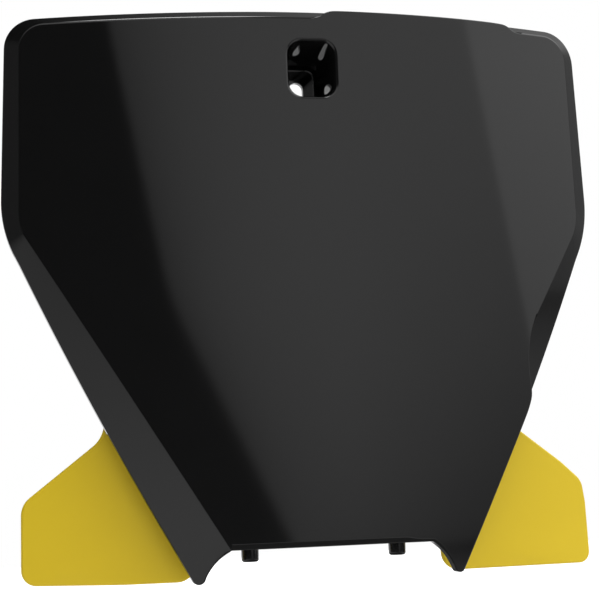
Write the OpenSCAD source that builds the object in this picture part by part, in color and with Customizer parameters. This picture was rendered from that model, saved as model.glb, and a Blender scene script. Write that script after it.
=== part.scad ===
// Front number board for an off-road motorbike.
// Heights are measured up from the plate's lower edge, depths back from the middle of its face.
// Each piece is then moved so that the origin lies in the middle of the pocket's rear seat.

/* [Overall] */
// Width of the board across the rim at the hips, its widest point
board_w = 250.6; // [236:0.2:270]
// Height of the crease along the top, at the middle
face_top = 214.2; // [205:0.1:240]
// Radius of the face's curve from side to side
face_r = 400; // [300:5:900]
// Thickness of the face
wall = 3; // [2:0.1:4]

/* [Face] */
// How far the top edge falls from the middle to its corners
top_fall = 1.1; // [0.2:0.1:5]
// How far the rim's top corners lie inside the hips
corner_inset = 3; // [0:0.1:12]
// Height of the hips, where the sides turn in towards the foot
hip_z = 130.3; // [110:0.1:150]
// Half width of the face along its lower edge
face_foot_x = 40; // [38:0.1:50]
// Radius of the crease at the top corners
face_corner_r = 11; // [4:0.5:20]
// Radius of the crease at the hips
face_hip_r = 20; // [5:1:40]

/* [Rim] */
// How much thicker the rim is than the face
rim_extra = 0.6; // [0:0.1:1.5]
// How far the rim's edge lies behind the face's own curve
rim_back = 3.8; // [3:0.1:7]
// How far the rim's edge rises above the top crease
rim_rise = 3.3; // [2:0.1:6]
// Width of the rim, seen from the front, at the top corners
rim_corner_w = 5.5; // [4:0.1:9]
// Width of the rim, seen from the front, at the hips
rim_hip_w = 7.1; // [4:0.1:10]
// Width of the rim, seen from the front, level with the lower edge
rim_foot_w = 20.6; // [18:0.1:22]
// How far the rim's edge bows out between the foot and the hips
rim_bow = 1.6; // [0:0.1:3]
// Height at which it bows out most
rim_bow_z = 58; // [50:1:60]
// Radius of the rim's edge at the top corners
rim_corner_r = 14; // [8:0.5:20]
// Radius of the rim's edge at the hips
rim_hip_r = 50; // [10:1:60]

/* [Flat reliefs on the rider's left] */
// Where the flat stretch of the top edge starts
top_flat_x0 = 2.5; // [2:0.1:8]
// Where the flat stretch of the top edge ends
top_flat_x1 = 92; // [70:0.1:94]
// Height of the flat stretch above the top crease
top_flat_rise = 3.2; // [1.5:0.1:4.5]
// Length of the slanted step at each end of the flat stretch
top_flat_step = 4; // [2:0.1:6]
// Height where the side flat leaves the crease
side_flat_z1 = 90; // [75:1:95]
// Height of the bulge at the upper end of the side flat
side_flat_z0 = 56.5; // [50:0.5:64]
// How far the side flat's edge lies outside the rim's line, at the foot
side_flat_out = 0.5; // [0:0.1:3]
// How far the bulge stands outside the rim's line
bulge_out = 2.4; // [0:0.1:4]
// Radius of the bulge
bulge_r = 8; // [2:0.5:8]
// How far the hollow above the bulge lies inside it
waist_in = 0.9; // [0.5:0.1:3]
// Radius of that hollow
waist_r = 18; // [6:1:18]
// Depth of the wall along the side flat's edge, from the face's front
flat_edge_depth = 5.6; // [4:0.1:7]
// Thickness of that wall
flat_edge_w = 1.8; // [1:0.1:3]

/* [Horns] */
// Radius of the hollow beside each horn
hollow_r = 21; // [18:0.5:24]
// How far that hollow's centre lies inside the rim's foot
hollow_in = 30.3; // [29:0.1:31.5]
// Distance of that hollow's centre below the lower edge
hollow_drop = 18.9; // [17:0.1:19.5]
// Radius of the horns' round tips
horn_tip_r = 2.6; // [2:0.1:3]
// How far the tips' centres lie inside the rim's foot
horn_in = 8.5; // [8.1:0.1:9.1]
// Distance of the tips' centres below the lower edge
horn_drop = 10.1; // [9:0.1:11]
// How much wider the hollow is beside the flat horn
flat_hollow_extra = 1.6; // [0:0.1:2]
// How much smaller the flat horn's tip is
flat_tip_less = 0.4; // [0:0.1:0.8]
// How much further out the flat horn's tip lies
flat_horn_out = 1.4; // [0:0.1:1.6]

/* [Screw pocket] */
// Width of the pocket's mouth
pocket_w = 22; // [18:0.1:30]
// Height of the pocket's mouth
pocket_h = 25.5; // [22:0.1:32]
// Distance from the top crease down to the middle of the mouth
pocket_fall = 21.4; // [20:0.1:40]
// Corner radius of the mouth
pocket_r = 5.6; // [3:0.1:7]
// Depth of the pocket from the face to its seat
pocket_depth = 31.7; // [20:0.1:45]
// How far each side wall leans in over that depth
side_draft = 2.1; // [0.5:0.1:3]
// How far the ceiling comes down over that depth
ceiling_draft = 4.9; // [0.5:0.1:6]
// Thickness of the pocket's walls
pocket_wall = 2.4; // [1.5:0.1:4]
// Thickness of the seat that the screw clamps
seat_wall = 2.8; // [2:0.1:5]
// Width of the slot through the seat
slot_w = 6.2; // [4.2:0.1:8]
// Length of the slot from end to end
slot_l = 12; // [9:0.1:15]
// How far the slot's upper end lies above the middle of the mouth
slot_rise = 2.3; // [-1:0.1:4]

/* [Pegs] */
// Distance of each peg from the middle
peg_x = 30.3; // [20:0.1:32]
// Depth of the pegs behind the middle of the face
peg_y = 14.3; // [12:0.1:20]
// Radius of the pegs
peg_r = 3.5; // [2.5:0.1:4]
// How far the pegs reach below the lower edge
peg_drop = 5; // [3:0.1:10]
// Radius of the round at the pegs' lower ends
peg_round = 1.2; // [0.3:0.1:1.5]
// Height of the shelf's underside, from which the pegs hang
shelf_z = 2; // [1:0.1:6]
// Thickness of the shelf
shelf_t = 3; // [2:0.1:5]
// How far the shelf reaches past each peg
shelf_margin = 2.6; // [1.5:0.1:3]

/* [Ribs] */
// Thickness of the two upright ribs
rib_t = 2; // [1.2:0.1:3]
// Depth of the ribs, from the face's front
rib_depth = 11; // [6:0.5:16]
// Distance of the upright ribs from the middle
rib_x = 8; // [5:0.5:9]
// Length of the gussets that stand on the shelf
gusset_h = 16; // [8:0.5:25]

/* [Wings] */
// Radius of the wings' curve from side to side
wing_r = 550; // [400:5:1200]
// Depth at which the wings' front faces would meet in the middle
wing_back = 18; // [16:0.1:24]
// Thickness of the wings
wing_wall = 2.5; // [1.8:0.1:4]
// How far the wings' outer edges lie inside the hips
wing_inset = 5.4; // [0:0.1:14]
// Height of the wings' lower edge, below the plate's own
wing_bottom = -12.1; // [-20:0.1:-8]
// Height of the outer corner
wing_shoulder_z = 22; // [10:0.1:30]
// Distance of the neck from the middle, where the upper edge goes behind the plate
wing_neck_x = 87.2; // [84:0.1:94]
// Height of the neck
wing_neck_z = 45.6; // [38:0.1:50]
// Distance of the inner edge from the middle
wing_inner_x = 51; // [48:0.1:54]
// Radius of the lower outer corner
wing_outer_r = 6; // [2:0.5:10]
// Radius of the lower inner corner
wing_inner_r = 7.5; // [2:0.5:9]
// Radius of the outer corner
wing_shoulder_r = 9; // [1:0.5:10]
// Radius of the hollow at the neck
wing_neck_r = 12; // [4:0.5:14]
// Radius of the corners behind the plate
tongue_r = 5; // [2:0.5:6.5]

/* [Wing fixings] */
// Distance of the lower screws from the middle
low_screw_x = 43.5; // [42:0.5:48]
// Height of the lower screws
low_screw_z = 22; // [20:0.5:26]
// Distance of the upper screws from the middle
high_screw_x = 67; // [62:0.5:69]
// Height of the upper screws
high_screw_z = 64; // [60:0.5:70]
// Radius of the screws' shanks
screw_r = 1.9; // [1.2:0.05:2.4]
// Length of the screws under the head
screw_l = 12; // [8:0.5:14]
// Radius of the screws' heads
head_r = 3.8; // [3:0.1:5]
// Height of the screws' heads
head_h = 2.4; // [1.5:0.1:3.5]
// Radius of the driver recess in the heads
recess_r = 1.1; // [0.6:0.1:1.5]
// Depth of that recess
recess_depth = 1.2; // [0.4:0.1:1.4]
// Wall of the bosses around the screws
boss_wall = 2.3; // [1.5:0.1:4]
// Radial clearance of the shanks in the wings
screw_clear = 0.35; // [0.1:0.05:0.8]
// Radial clearance of the shanks in the bosses' pilot holes
pilot_clear = 0.05; // [0.02:0.01:0.2]
// How far the pilot holes run on past the screws' tips
pilot_room = 1; // [0.2:0.1:2]
// How far the pads stand in front of the wings' curve
pad_proud = 0.6; // [0.3:0.1:1.5]
// How far the pads stand behind the wings' curve
pad_rear = 0.8; // [0.4:0.1:1.5]
// Width of the wing's tongue beyond the screws' centres
tongue = 7; // [6:0.1:9]

/* [Colours] */
// Colour of the plate
plate_colour = "#1b1b1c";
// Colour of the wings
wing_colour = "#d9b92f";
// Colour of the screws
screw_colour = "#8d9094";

/* [Hidden] */

// Fineness of the wide curves, of the round parts and of small rounds
curve_fn = 720;
round_fn = 64;
small_fn = 32;
// Steps in each rounded corner of an outline, and parts of its straights
arc_steps = 7;
flank_parts = 14;
side_parts = 3;
top_parts = 9;
// Sliver by which touching shapes are made to share some volume
seam = 0.05;
// How far cutting shapes run past what they cut
overlap = 1;
// Distance that reaches past the whole board
room = 60;
// Level down to which the sides are drawn before the foot is cut out
cut_low = -16;
// How far the rim's inner line lies inside the crease
rim_root = 1.5;
// Height over which the side flat and the rim run side by side
flat_lap = 3;
// Radius that rounds the peak of the top edge
crown_r = 3000;

rim_wall = wall + rim_extra;
rim_hip_x = board_w / 2;
rim_corner_x = rim_hip_x - corner_inset;
rim_foot_x = face_foot_x + rim_foot_w;
face_hip_x = rim_hip_x - rim_hip_w;
face_corner_x = rim_corner_x - rim_corner_w;
corner_z = face_top - top_fall;
horn_x = rim_foot_x - horn_in;
hollow_x = rim_foot_x - hollow_in;
// Of each horn: its side, its hollow's radius, and its tip's distance from the middle and radius
horns = [
    [-1, hollow_r, horn_x, horn_tip_r],
    [1, hollow_r + flat_hollow_extra, horn_x + flat_horn_out, horn_tip_r - flat_tip_less]
];
wing_x = rim_hip_x - wing_inset;
low_screw = [low_screw_x, low_screw_z];
high_screw = [high_screw_x, high_screw_z];

pocket_z = face_top - pocket_fall;
pocket_low = pocket_z - pocket_h / 2;
pocket_high = pocket_z + pocket_h / 2;
slot_mid_z = pocket_z + slot_rise - slot_l / 2;
seat_y = pocket_depth + seat_wall;

function unit(v) = v / norm(v);
function last(list) = list[len(list) - 1];
function sag(x, r = face_r) = r - sqrt(r * r - x * x);
function turn(angle) = angle > 180 ? angle - 360 : angle < -180 ? angle + 360 : angle;

// Points of the arc that rounds the corner p1 between its neighbours p0 and p2
function corner(p0, p1, p2, r) =
    let (
        a = unit(p0 - p1),
        b = unit(p2 - p1),
        half = acos(a * b) / 2,
        centre = p1 + unit(a + b) * r / sin(half),
        start = p1 + a * r / tan(half) - centre,
        end = p1 + b * r / tan(half) - centre,
        from = atan2(start[1], start[0]),
        sweep = turn(atan2(end[1], end[0]) - from)
    )
    [for (i = [0:arc_steps])
        let (angle = from + sweep * i / arc_steps)
        centre + r * [cos(angle), sin(angle)]];

// Points of an open path with its inner corners rounded, and each straight split into parts
function path(points, radii, parts) =
    let (
        ends = len(points) - 1,
        arcs = [for (i = [0:ends])
            radii[i] == 0 ? [points[i]] : corner(points[i - 1], points[i], points[i + 1], radii[i])]
    )
    [for (i = [0:ends])
        each i == ends
            ? arcs[i]
            : concat(arcs[i], between(last(arcs[i]), arcs[i + 1][0], parts[i]))];

function between(a, b, parts) = [for (k = [1:1:parts - 1]) a + (b - a) * k / parts];

// Points of a closed outline with every corner rounded
function outline(points, radii) =
    let (n = len(points))
    [for (i = [0:n - 1])
        each radii[i] == 0
            ? [points[i]]
            : corner(points[(i + n - 1) % n], points[i], points[(i + 1) % n], radii[i])];

// The left half of a path that ends in the middle, followed by its mirror image
function mirrored(half) =
    concat([for (p = half) [-p[0], p[1]]], [for (i = [len(half) - 2:-1:0]) half[i]]);

// Point at height z on the line from the foot (level with the lower edge) to the hip
function flank(foot_x, hip_x, z) = [foot_x + (hip_x - foot_x) * z / hip_z, z];

// The crease and the rim's edge have the same number of points, so that they can be joined
parts = [flank_parts, side_parts, top_parts, top_parts, side_parts, flank_parts];
function rounding(hip_r, corner_r) = [0, hip_r, corner_r, crown_r, corner_r, hip_r, 0];

crease_half = [
    flank(face_foot_x, face_hip_x, cut_low),
    [face_hip_x, hip_z],
    [face_corner_x, corner_z],
    [0, face_top]
];
crease = path(mirrored(crease_half), rounding(face_hip_r, face_corner_r), parts);

rim_half = [
    flank(rim_foot_x, rim_hip_x, cut_low),
    [rim_hip_x, hip_z],
    [rim_corner_x, corner_z + rim_rise],
    [0, face_top + rim_rise]
];
function bow(z) = z > 2 * rim_bow_z ? 0 : rim_bow * (1 - pow(z / rim_bow_z - 1, 2));
rim_edge = [for (p = path(mirrored(rim_half), rounding(rim_hip_r, rim_corner_r), parts))
    p + [sign(p[0]) * bow(p[1]), 0]];

// Depths of the wings' front, of the pads around the screws and of the pilot holes
function wing_front(x) = wing_back + sag(x, wing_r);
function pad_front(at) = wing_front(at[0]) - pad_proud;
function pad_back(at) = wing_front(at[0]) + wing_wall + pad_rear;
function pad_l(at) = pad_back(at) - pad_front(at);
function pilot_depth(at) = screw_l - pad_l(at) + pilot_room;

// Moves a piece from the plate's lower edge to the seat's frame
module at_seat() {
    translate([0, -seat_y, -slot_mid_z]) children();
}

// Extrudes an outline drawn as seen from the front, from depth y0 back to depth y1
module front_prism(y0, y1) {
    translate([0, y1, 0]) rotate([90, 0, 0]) linear_extrude(y1 - y0) children();
}

// Sheet that follows a curve of radius r across the board
module curved_sheet(r, front, thick) {
    translate([0, front + r, -room])
        difference() {
            cylinder(r = r, h = face_top + 2 * room, $fn = curve_fn);
            translate([0, 0, -overlap])
                cylinder(r = r - thick, h = face_top + 2 * room + 2 * overlap, $fn = curve_fn);
        }
}

// Keeps what lies behind the middle of the face's wall
module behind_face() {
    intersection() {
        children();
        translate([0, face_r, -room])
            cylinder(r = face_r - wall / 2, h = face_top + 2 * room, $fn = curve_fn);
    }
}

module rounded_box(w, h, r) {
    square([w - 2 * r, h], center = true);
    square([w, h - 2 * r], center = true);
    for (sx = [-1, 1], sy = [-1, 1])
        translate([sx * (w / 2 - r), sy * (h / 2 - r)]) circle(r, $fn = small_fn);
}

module oblong(w, l) {
    square([w, l - w], center = true);
    for (s = [-1, 1])
        translate([0, s * (l - w) / 2]) circle(w / 2, $fn = round_fn);
}

// Flat stretch of the face where the rim isn't bent back, along the top edge
module top_flat() {
    polygon([
        [top_flat_x0, face_top - rim_rise],
        [top_flat_x0, face_top],
        [top_flat_x0 + top_flat_step, face_top + top_flat_rise],
        [top_flat_x1 - top_flat_step, face_top + top_flat_rise],
        [top_flat_x1, corner_z],
        [top_flat_x1, face_top - 2 * rim_rise]
    ]);
}

// Flat stretch of the face beside the right horn
module side_flat() {
    crease_at = flank(face_foot_x, face_hip_x, side_flat_z1);
    bulge = flank(rim_foot_x, rim_hip_x, side_flat_z0) + [bulge_out, 0];
    waist = [bulge[0] - waist_in, (side_flat_z1 + side_flat_z0) / 2];
    polygon(outline([
        crease_at + [-overlap, overlap],
        waist,
        bulge,
        flank(rim_foot_x, rim_hip_x, cut_low) + [side_flat_out, 0],
        flank(face_foot_x, face_hip_x, cut_low) - [overlap, 0]
    ], [0, waist_r, bulge_r, 0, 0]));
}

// Wall that runs back along the side flat's edge, and fills its horn
module flat_edge() {
    intersection() {
        curved_sheet(face_r - wall + seam, wall - seam, flat_edge_depth - wall + seam);
        front_prism(0, room)
            difference() {
                intersection() {
                    side_flat();
                    translate([0, cut_low]) square([rim_hip_x, side_flat_z0 - flat_lap - cut_low]);
                }
                intersection() {
                    translate([-flat_edge_w, 0]) side_flat();
                    translate([0, flat_edge_w]) square([rim_hip_x, side_flat_z0]);
                }
            }
    }
}

module face_sheet() {
    intersection() {
        curved_sheet(face_r, 0, wall);
        front_prism(-overlap, room) {
            polygon(crease);
            top_flat();
            side_flat();
        }
    }
}

// Band that joins the crease to the rim's edge, further back
module rim_band() {
    stations = [for (i = [0:len(crease) - 1])
        let (
            c = crease[i],
            e = rim_edge[i],
            inward = unit(c - e) * rim_root,
            edge = [e[0], sag(e[0]) + rim_back, e[1]]
        )
        [
            [c[0], sag(c[0]) + seam, c[1]],
            edge,
            edge + [0, rim_wall, 0],
            [c[0] + inward[0], sag(c[0]) + rim_wall, c[1] + inward[1]]
        ]];
    count = len(stations);
    sides = [for (i = [0:count - 2], k = [0:3])
        let (a = 4 * i + k, b = 4 * i + (k + 1) % 4, c = b + 4, d = a + 4)
        each [[a, b, c], [a, c, d]]];
    end = 4 * (count - 1);
    caps = [[0, 2, 1], [0, 3, 2], [end, end + 1, end + 2], [end, end + 2, end + 3]];
    polyhedron([for (s = stations) each s], concat(sides, caps), convexity = 6);
}

// The rim is left out where the face runs flat to its edge
module rim() {
    difference() {
        rim_band();
        front_prism(-overlap, room) {
            translate([top_flat_x0 + top_flat_step / 2, face_top - 2 * rim_rise])
                square([top_flat_x1 - top_flat_x0 - top_flat_step, 4 * rim_rise]);
            translate([0, cut_low - overlap])
                square([face_hip_x, side_flat_z0 - flat_lap - cut_low + overlap]);
        }
    }
}

// What is cut away below the lower edge, between and around the horns
module under_cut() {
    front_prism(-overlap, room)
        difference() {
            translate([-room * 2, -room]) square([4 * room, room]);
            difference() {
                translate([-room * 2, -horn_drop]) square([4 * room, horn_drop]);
                for (h = horns)
                    translate([h[0] * hollow_x, -hollow_drop]) circle(h[1], $fn = 2 * round_fn);
                translate([-hollow_x, -room]) square([2 * hollow_x, room]);
            }
            for (h = horns)
                translate([h[0] * h[2], -horn_drop]) circle(h[3], $fn = round_fn);
        }
}

// Tapered well: grow 0 is the space inside it, and more is its outside
module pocket_form(grow, front, back) {
    floor_high = pocket_high - ceiling_draft;
    floor_low = pocket_low + side_draft;
    hull() {
        translate([0, front, pocket_z]) rotate([90, 0, 0])
            linear_extrude(seam)
                rounded_box(pocket_w + 2 * grow, pocket_h + 2 * grow, pocket_r + grow);
        translate([0, back, (floor_high + floor_low) / 2]) rotate([90, 0, 0])
            linear_extrude(seam)
                rounded_box(pocket_w - 2 * side_draft + 2 * grow, floor_high - floor_low + 2 * grow,
                    pocket_r - side_draft + grow);
    }
}

module screw_slot() {
    translate([0, 0, slot_mid_z])
        front_prism(pocket_depth - overlap, seat_y + overlap) oblong(slot_w, slot_l);
}

// Pegs that start in the middle of the shelf's thickness
module pegs() {
    root_z = shelf_z + shelf_t / 2;
    straight = peg_drop + root_z - peg_round;
    for (s = [-1, 1])
        translate([s * peg_x, peg_y, root_z]) rotate([180, 0, 0])
            rotate_extrude($fn = round_fn) {
                square([peg_r, straight]);
                square([peg_r - peg_round, straight + peg_round]);
                translate([peg_r - peg_round, straight]) circle(peg_round, $fn = small_fn);
            }
}

// Shelf behind the lower edge, with a gusset above each peg
module peg_shelf() {
    reach = peg_y + peg_r + shelf_margin;
    half = peg_x + peg_r + shelf_margin;
    gusset = [[-overlap, 0], [reach - overlap, 0], [wall + overlap, gusset_h], [-overlap, gusset_h]];
    behind_face() {
        translate([-half, -overlap, shelf_z]) cube([2 * half, reach + overlap, shelf_t]);
        for (s = [-1, 1])
            translate([s * peg_x - rib_t / 2, 0, shelf_z + shelf_t - seam]) rotate([90, 0, 90])
                linear_extrude(rib_t) polygon(gusset);
    }
}

module upright_ribs() {
    behind_face()
        for (s = [-1, 1])
            translate([s * rib_x - rib_t / 2, 0, shelf_z + shelf_t / 2])
                cube([rib_t, rib_depth, pocket_low - shelf_z]);
}

// Round bar that runs forward by l from depth y, at a screw's place
module bar(at, y, r, l) {
    translate([at[0], y, at[1]]) rotate([90, 0, 0]) cylinder(r = r, h = l, $fn = round_fn);
}

module both_sides() {
    children();
    mirror([1, 0, 0]) children();
}

module wing_bosses() {
    behind_face() both_sides()
        for (at = [low_screw, high_screw])
            bar(at, pad_front(at), screw_r + boss_wall, pad_front(at));
}

module pilot_holes() {
    both_sides()
        for (at = [low_screw, high_screw])
            bar(at, pad_front(at) + overlap, screw_r + pilot_clear, pilot_depth(at) + overlap);
}

module number_plate() color(plate_colour) at_seat() {
    difference() {
        union() {
            face_sheet();
            flat_edge();
            rim();
            pocket_form(pocket_wall, wall / 2, seat_y);
            peg_shelf();
            upright_ribs();
            wing_bosses();
        }
        pocket_form(0, -overlap, pocket_depth);
        screw_slot();
        pilot_holes();
        under_cut();
    }
    pegs();
}

// Outline of the right wing: the visible blade first, then the tongue that is hidden by the plate
module wing_outline() {
    corners = [
        [[wing_inner_x, wing_bottom], wing_inner_r],
        [[wing_x, wing_bottom], wing_outer_r],
        [[wing_x, wing_shoulder_z], wing_shoulder_r],
        [[wing_neck_x, wing_neck_z], wing_neck_r],
        [high_screw + [2 * tongue, tongue], tongue_r],
        [high_screw + [-tongue, tongue], tongue_r],
        [low_screw + [-tongue, tongue], tongue_r],
        [low_screw - [tongue, tongue], tongue_r],
        [[wing_inner_x, low_screw_z - 2 * tongue], tongue_r]
    ];
    polygon(outline([for (c = corners) c[0]], [for (c = corners) c[1]]));
}

module wing() {
    difference() {
        union() {
            intersection() {
                curved_sheet(wing_r, wing_back, wing_wall);
                front_prism(0, room) wing_outline();
            }
            for (at = [low_screw, high_screw])
                bar(at, pad_back(at), screw_r + boss_wall, pad_l(at));
        }
        for (at = [low_screw, high_screw])
            bar(at, pad_back(at) + overlap, screw_r + screw_clear, pad_l(at) + 2 * overlap);
    }
}

module screw(at) {
    head_end = pad_back(at) + head_h;
    difference() {
        union() {
            bar(at, pad_back(at), screw_r, screw_l);
            bar(at, head_end, head_r, head_h);
        }
        bar(at, head_end + overlap, recess_r, recess_depth + overlap);
    }
}

module left_wing() color(wing_colour) at_seat() mirror([1, 0, 0]) wing();
module right_wing() color(wing_colour) at_seat() wing();
module left_low_screw() color(screw_colour) at_seat() mirror([1, 0, 0]) screw(low_screw);
module left_high_screw() color(screw_colour) at_seat() mirror([1, 0, 0]) screw(high_screw);
module right_low_screw() color(screw_colour) at_seat() screw(low_screw);
module right_high_screw() color(screw_colour) at_seat() screw(high_screw);

number_plate();
left_wing();
right_wing();
left_low_screw();
left_high_screw();
right_low_screw();
right_high_screw();
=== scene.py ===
"""Looks for the off-road number board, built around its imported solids."""

import math

import bpy
import numpy as np
from bpy.props import FloatProperty, FloatVectorProperty, PointerProperty
from mathutils import Matrix, Vector
from mathutils.geometry import delaunay_2d_cdt


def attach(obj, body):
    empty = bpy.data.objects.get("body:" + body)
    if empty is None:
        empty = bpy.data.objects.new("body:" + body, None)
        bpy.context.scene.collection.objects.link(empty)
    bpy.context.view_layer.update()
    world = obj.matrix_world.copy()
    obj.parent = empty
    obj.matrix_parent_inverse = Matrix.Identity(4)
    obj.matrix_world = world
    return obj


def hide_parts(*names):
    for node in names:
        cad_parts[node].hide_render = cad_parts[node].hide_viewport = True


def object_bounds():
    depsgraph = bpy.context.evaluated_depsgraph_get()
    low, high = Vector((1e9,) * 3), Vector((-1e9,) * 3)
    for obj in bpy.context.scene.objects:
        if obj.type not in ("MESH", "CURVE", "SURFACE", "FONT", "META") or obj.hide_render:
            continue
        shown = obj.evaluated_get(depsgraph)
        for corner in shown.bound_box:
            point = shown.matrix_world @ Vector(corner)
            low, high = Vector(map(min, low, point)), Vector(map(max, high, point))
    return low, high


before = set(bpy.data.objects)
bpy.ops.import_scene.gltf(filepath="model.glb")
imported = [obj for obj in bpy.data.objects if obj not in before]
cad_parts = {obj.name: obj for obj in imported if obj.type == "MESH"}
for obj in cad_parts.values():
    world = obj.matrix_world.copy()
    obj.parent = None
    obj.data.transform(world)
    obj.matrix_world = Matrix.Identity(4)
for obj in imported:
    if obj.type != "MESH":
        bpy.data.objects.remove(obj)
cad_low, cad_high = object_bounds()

bl_info = {
    "name": "Number board",
    "version": (1, 0, 0),
    "blender": (4, 5, 0),
    "location": "View3D > Sidebar > Number board",
    "description": "Builds the plate, wings, screws and studio of an off-road number board",
    "category": "Object",
}

MM = 0.001
# Depth of the seat's rear face and height of its slot's centre, in the board's own frame:
# heights run up from the plate's lower edge, depths back from the middle of its face
SEAT_Y = 34.5
SLOT_Z = 189.1
FOOT_Z = 0.0
HIP_Z = 130.3

FRONT = np.array([0.0, -1.0, 0.0])
BACK = np.array([0.0, 1.0, 0.0])


# Sizes, colours and lights that a user would change


def length(name, text, default):
    return FloatProperty(name=name, description=text, default=default, unit="LENGTH")


def level(name, text, default, **limits):
    return FloatProperty(name=name, description=text, default=default, min=0, **limits)


def colour(name, text, default):
    return FloatVectorProperty(name=name, description=text, default=default, size=4, subtype="COLOR")


class BoardSizes(bpy.types.PropertyGroup):
    """Sizes of the plate and the wings"""

    face_radius: length("Face curve", "Radius of the face from side to side", 0.4)
    wall: length("Wall", "Thickness of the plate", 0.003)
    crease_round: length("Crease round", "Radius where the face turns into the rim", 0.0014)
    edge_round: length("Edge round", "Radius of the outer edges", 0.0005)
    foot_round: length("Foot round", "Radius along the lower edge", 0.0025)
    rim_setback: length("Rim setback", "Depth of the rim's edge behind the face's curve", 0.0038)
    pocket_width: length("Pocket width", "Width of the screw pocket's mouth", 0.022)
    pocket_height: length("Pocket height", "Height of the screw pocket's mouth", 0.0255)
    pocket_depth: length("Pocket depth", "Depth from the face to the pocket's floor", 0.0317)
    slot_width: length("Slot width", "Width of the slot through the pocket's floor", 0.0062)
    slot_length: length("Slot length", "Length of that slot", 0.012)
    wing_radius: length("Wing curve", "Radius of the wings from side to side", 0.55)
    wing_setback: length("Wing setback", "Depth of the wings behind the face", 0.018)
    wing_wall: length("Wing wall", "Thickness of the wings", 0.0025)
    wing_edge: length("Wing edge round", "Radius of the wings' edges", 0.0009)


class BoardFinish(bpy.types.PropertyGroup):
    """Colours and roughness of the plastics and the screws"""

    plate_colour: colour("Plate colour", "Colour of the plate's plastic", (0.0080, 0.0080, 0.0081, 1))
    plate_roughness: level("Plate roughness", "Roughness of the plate's face", 0.06, max=1)
    wing_colour: colour("Wing colour", "Colour of the wings' plastic", (0.90, 0.650, 0.016, 1))
    wing_roughness: level("Wing roughness", "Roughness of the wings", 0.42, max=1)
    screw_colour: colour("Screw colour", "Colour of the screws' plating", (0.55, 0.56, 0.57, 1))


class BoardStudio(bpy.types.PropertyGroup):
    """The floor, the lights and the camera's lens"""

    floor_drop: length("Floor drop", "Distance of the floor below the part", 0.06)
    floor_size: length("Floor size", "Side of the square floor", 4)
    # Paleness and reach of the pool of light painted on the floor
    floor_shade: level("Floor shade", "Paleness of the floor beside the part", 0.78, max=1)
    painted_pool_radius: length("Pool radius", "Where the floor's pool of light has faded out", 2.2)
    front_light: level("Front light", "Level of the wide light in front", 1.0)
    right_light: level("Right light", "Level of the light on the right", 1.31)
    lamp_light: level("Lamp light", "Level of the small lamp straight overhead", 14)
    top_light: level("Top light", "Level of the wide lights overhead", 1.1)
    key_light: level("Key light", "Level added to them on the right", 1.5)
    rear_light: level("Rear light", "Level of the light overhead at the back", 0.52)
    side_fill: level("Side fill", "Level of the studio's sides and back", 0.29)
    lens: level("Lens", "Focal length of the camera, in millimetres", 96)


# Outlines as seen from the front, in millimetres


def unit(v):
    v = np.asarray(v, float)
    return v / np.linalg.norm(v)


def sag(x, r):
    """How far a sheet with this radius has curved back at x."""
    return r - np.sqrt(r * r - x * x)


def corner_arc(before, at, after, radius, steps):
    """Points of the arc that rounds the corner at one outline point."""
    before, at, after = (np.array(p, float) for p in (before, at, after))
    a, b = unit(before - at), unit(after - at)
    half = math.acos(np.clip(a @ b, -1, 1)) / 2
    centre = at + unit(a + b) * radius / math.sin(half)
    start = at + a * radius / math.tan(half) - centre
    end = at + b * radius / math.tan(half) - centre
    first = math.atan2(start[1], start[0])
    sweep = (math.atan2(end[1], end[0]) - first + math.pi) % (2 * math.pi) - math.pi
    angles = [first + sweep * i / steps for i in range(steps + 1)]
    return [centre + radius * np.array([math.cos(t), math.sin(t)]) for t in angles]


def rounded_path(points, radii, parts, steps=12):
    """An open path with its inner corners rounded and each straight split into parts."""
    arcs = []
    for i, p in enumerate(points):
        if radii[i] == 0:
            arcs.append([np.array(p, float)])
        else:
            arcs.append(corner_arc(points[i - 1], p, points[i + 1], radii[i], steps))
    path = []
    for i, arc in enumerate(arcs):
        path.extend(arc)
        if i + 1 < len(arcs):
            a, b = arc[-1], arcs[i + 1][0]
            path.extend(a + (b - a) * k / parts[i] for k in range(1, parts[i]))
    return np.array(path)


def rounded_loop(points, radii, steps=8):
    """A closed outline with every corner rounded."""
    n = len(points)
    loop = []
    for i in range(n):
        loop.extend(corner_arc(points[i - 1], points[i], points[(i + 1) % n], radii[i], steps))
    return np.array(loop)


def smooth_path(points, passes=3):
    """Rounds a given open path by cutting its corners again and again."""
    path = np.array(points, float)
    for _ in range(passes):
        quarter = path[:-1] * 0.75 + path[1:] * 0.25
        three = path[:-1] * 0.25 + path[1:] * 0.75
        inner = np.stack([quarter, three], 1).reshape(-1, 2)
        path = np.vstack([path[:1], inner[1:-1], path[-1:]])
    return path


def resampled(path, spacing):
    """The same path with points at an even distance."""
    path = np.asarray(path, float)
    steps = np.linalg.norm(np.diff(path, axis=0), axis=1)
    along = np.concatenate([[0], np.cumsum(steps)])
    count = max(2, int(round(along[-1] / spacing)) + 1)
    t = np.linspace(0, along[-1], count)
    return np.stack([np.interp(t, along, path[:, k]) for k in (0, 1)], 1)


def arc_points(centre, radius, start, end, steps):
    """Points of an arc between two angles in degrees."""
    angles = np.radians(np.linspace(start, end, steps + 1))
    return np.array(centre) + radius * np.stack([np.cos(angles), np.sin(angles)], 1)


def rounded_box(width, height, radius, centre_z, steps=7):
    """Loop of a box with rounded corners, anticlockwise from the right side's foot."""
    w, h = width / 2 - radius, height / 2 - radius
    loop = []
    for cx, cz, start in ((w, -h, -90), (w, h, 0), (-w, h, 90), (-w, -h, 180)):
        loop.extend(arc_points((cx, cz + centre_z), radius, start, start + 90, steps))
    return np.array(loop)


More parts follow.
